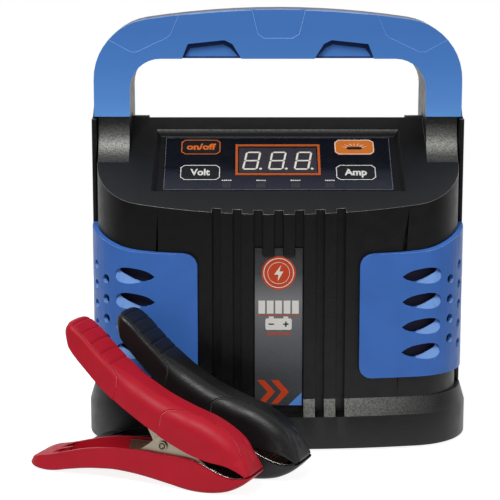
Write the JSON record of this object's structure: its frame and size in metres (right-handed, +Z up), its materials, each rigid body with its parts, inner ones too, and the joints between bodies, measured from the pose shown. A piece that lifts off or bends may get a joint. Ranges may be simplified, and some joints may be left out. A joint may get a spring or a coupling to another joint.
{
  "type": "battery_charger",
  "caption": "Upright car battery charger with a sloping key panel, fixed carrying handle, vented blue side guards and red and black battery clamps",
  "frame": {"origin": "middle of the charger's underside, on the floor between the feet", "axes": "+Z up, front panel faces -Y, +X to the right seen from the front"},
  "size_m": [0.2722, 0.2427, 0.2753],
  "materials": {
    "black_plastic": "moulded ABS, fine spark texture",
    "blue_plastic": "moulded ABS, satin",
    "red_clamp_plastic": "moulded polypropylene, satin",
    "foot_rubber": "moulded rubber",
    "label_print": "printed vinyl on a plastic plate",
    "panel_print": "printed polyester film",
    "orange_print": "printed film, raised",
    "orange_plastic": "printed key cap",
    "key_plastic": "fine matt moulding",
    "display_glass": "dark tinted display window",
    "white_plastic": "as moulded",
    "board_green": "solder mask",
    "zinc_steel": "zinc plated",
    "jaw_steel": "plated sheet steel",
    "copper_plate": "copper plated contact",
    "core_steel": "laminated steel, lacquered",
    "coil_tape": "taped copper winding",
    "brass_metal": "turned brass",
    "heat_sink_aluminium": "extruded, plain",
    "sleeve_blue": "shrink sleeve"
  },
  "bodies": {
    "charger": {"base_tray": "black_plastic", "rubber_feet": "foot_rubber", "front_shell": "black_plastic", "rear_shell": "black_plastic", "handle_cover": "blue_plastic", "left_guard": "blue_plastic", "right_guard": "blue_plastic", "label_plate": "label_print", "panel_film": "panel_print", "display_frame": "orange_print", "display_module": "display_glass", "indicator_lenses": "display_glass", "indicator_leds": "white_plastic", "control_board": "board_green", "tact_switches": "key_plastic", "buzzer": "black_plastic", "control_board_screws": "zinc_steel", "transformer_core": "core_steel", "transformer_coil": "coil_tape", "power_board": "board_green", "board_standoffs": "brass_metal", "heat_sink": "heat_sink_aluminium", "rectifier": "key_plastic", "capacitors": "sleeve_blue", "relay": "sleeve_blue", "fuse_holder": "white_plastic", "terminal_block": "board_green", "fan_frame": "black_plastic", "fan_screws": "zinc_steel", "mains_gland": "black_plastic", "output_gland": "black_plastic", "base_screws": "zinc_steel", "handle_screws": "zinc_steel"},
    "on_off_key": {"on_off_key": "key_plastic"},
    "volt_key": {"volt_key": "key_plastic"},
    "boost_key": {"boost_key": "orange_plastic"},
    "amp_key": {"amp_key": "key_plastic"},
    "fan_rotor": {"fan_rotor": "black_plastic"},
    "red_clamp": {"red_lower_cover": "red_clamp_plastic", "red_lower_jaw": "jaw_steel", "red_lower_contact": "copper_plate", "red_rivet": "jaw_steel", "red_spring": "zinc_steel"},
    "red_clamp_upper": {"red_upper_cover": "red_clamp_plastic", "red_upper_jaw": "jaw_steel", "red_upper_contact": "copper_plate"},
    "black_clamp": {"black_lower_cover": "black_plastic", "black_lower_jaw": "jaw_steel", "black_lower_contact": "copper_plate", "black_rivet": "jaw_steel", "black_spring": "zinc_steel"},
    "black_clamp_upper": {"black_upper_cover": "black_plastic", "black_upper_jaw": "jaw_steel", "black_upper_contact": "copper_plate"}
  },
  "joints": [
    {"name": "on_off_press", "type": "slide", "parent": "charger", "child": "on_off_key", "axis": [0, 0.5299, -0.848], "range_m": [0, 0.0006], "stiffness_N_per_m": 200, "springref_m": -0.0005},
    {"name": "volt_press", "type": "slide", "parent": "charger", "child": "volt_key", "axis": [0, 0.5299, -0.848], "range_m": [0, 0.0006], "stiffness_N_per_m": 200, "springref_m": -0.0005},
    {"name": "boost_press", "type": "slide", "parent": "charger", "child": "boost_key", "axis": [0, 0.5299, -0.848], "range_m": [0, 0.0006], "stiffness_N_per_m": 200, "springref_m": -0.0005},
    {"name": "amp_press", "type": "slide", "parent": "charger", "child": "amp_key", "axis": [0, 0.5299, -0.848], "range_m": [0, 0.0006], "stiffness_N_per_m": 200, "springref_m": -0.0005},
    {"name": "fan_spin", "type": "hinge", "parent": "charger", "child": "fan_rotor", "pos_m": [0, 0.0585, 0.1], "axis": [0, 1, 0], "continuous": true},
    {"name": "red_clamp_lift", "type": "slide", "parent": "charger", "child": "red_clamp", "axis": [0, 0, 1], "range_m": [0, 0.1]},
    {"name": "red_clamp_open", "type": "hinge", "parent": "red_clamp", "child": "red_clamp_upper", "pos_m": [-0.0652, -0.1346, 0.02577], "axis": [-0.4003, -0.9164, 0], "range_deg": [0, 35], "stiffness_Nm_per_rad": 1.5, "springref_deg": -11.46},
    {"name": "black_clamp_lift", "type": "slide", "parent": "charger", "child": "black_clamp", "axis": [0, 0, 1], "range_m": [0, 0.1]},
    {"name": "black_clamp_open", "type": "hinge", "parent": "black_clamp", "child": "black_clamp_upper", "pos_m": [-0.0359, -0.1086, 0.02577], "axis": [-0.3827, -0.9239, 0], "range_deg": [0, 35], "stiffness_Nm_per_rad": 1.5, "springref_deg": -11.46}
  ]
}
